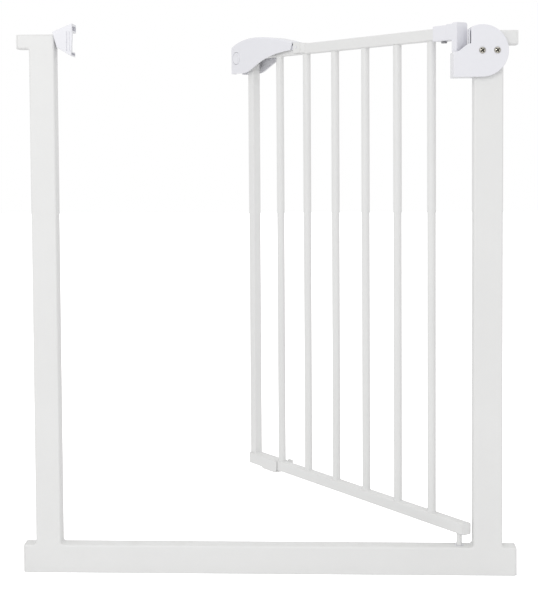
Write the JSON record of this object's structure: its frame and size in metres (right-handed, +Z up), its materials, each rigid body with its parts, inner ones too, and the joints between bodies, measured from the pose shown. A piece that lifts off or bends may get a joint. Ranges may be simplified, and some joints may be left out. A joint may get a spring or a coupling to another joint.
{
  "type": "child safety gate",
  "caption": "Pressure-fit steel child safety gate: a U-frame with a hinged barred door, an arched latch handle, a catch and a rounded hinge housing, shown part open.",
  "frame": {"origin": "middle of the bottom rail's underside, on the floor", "axes": "+X along the doorway towards the hinge post, +Y through the doorway to the side the door stands open on, +Z up"},
  "size_m": [0.695, 0.4521, 0.7844],
  "materials": {
    "painted_steel": "satin white powder coat",
    "white_plastic": "moulded, soft sheen, faintly cool white",
    "zinc_steel": "zinc plated",
    "bright_steel": "bright nickel"
  },
  "bodies": {
    "frame": {"bottom_rail": "painted_steel", "left_upright": "painted_steel", "right_upright": "painted_steel", "top_stub_left": "painted_steel", "top_stub_right": "painted_steel", "end_plug_bottom_left": "white_plastic", "end_plug_top_left": "white_plastic", "spindle_nut_bottom_left": "zinc_steel", "spindle_nut_top_left": "zinc_steel", "end_plug_bottom_right": "white_plastic", "end_plug_top_right": "white_plastic", "spindle_nut_bottom_right": "zinc_steel", "spindle_nut_top_right": "zinc_steel", "latch_catch": "white_plastic", "catch_screw": "zinc_steel", "hinge_housing_front": "white_plastic", "hinge_housing_back": "white_plastic", "housing_screw_inner": "bright_steel", "housing_screw_outer": "bright_steel", "housing_nut_inner": "zinc_steel", "housing_nut_outer": "zinc_steel", "closing_spring": "zinc_steel", "lower_pivot_bush": "white_plastic"},
    "door": {"door_top_rail": "painted_steel", "door_bottom_rail": "painted_steel", "latch_stile": "painted_steel", "bar_1": "painted_steel", "bar_2": "painted_steel", "bar_3": "painted_steel", "bar_4": "painted_steel", "bar_5": "painted_steel", "bar_6": "painted_steel", "hinge_bracket": "white_plastic", "bracket_screw": "zinc_steel", "upper_pivot_pin": "zinc_steel", "pin_collar": "zinc_steel", "lower_pivot_pin": "zinc_steel", "door_rail_plug": "white_plastic", "bottom_guide_clip": "white_plastic", "handle_base": "white_plastic", "handle_base_screw": "zinc_steel", "lever_pin": "zinc_steel", "bolt_spring": "zinc_steel"},
    "handle": {"handle_cover": "white_plastic"},
    "bolt": {"latch_bolt": "white_plastic"},
    "button": {"release_button": "white_plastic"}
  },
  "joints": [
    {"name": "door_swing", "type": "hinge", "parent": "frame", "child": "door", "pos_m": [0.2685, 0, 0.06], "axis": [0, 0, 1], "range_deg": [-38.6, 141.4]},
    {"name": "handle_lift", "type": "hinge", "parent": "door", "child": "handle", "pos_m": [0.04702, 0.27744, 0.761], "axis": [0.7815, 0.6239, 0], "range_deg": [0, 8]},
    {"name": "bolt_slide", "type": "slide", "parent": "door", "child": "bolt", "axis": [0.6239, -0.7815, 0], "range_m": [0, 0.011], "deforming": ["bolt_spring"]},
    {"name": "button_press", "type": "slide", "parent": "handle", "child": "button", "axis": [0.7815, 0.6239, 0], "range_m": [0, 0.0025], "stiffness_N_per_m": 300}
  ],
  "couplings": [
    {"joint": "bolt_slide", "follows": "handle_lift", "m_per_rad": 0.0785}
  ]
}
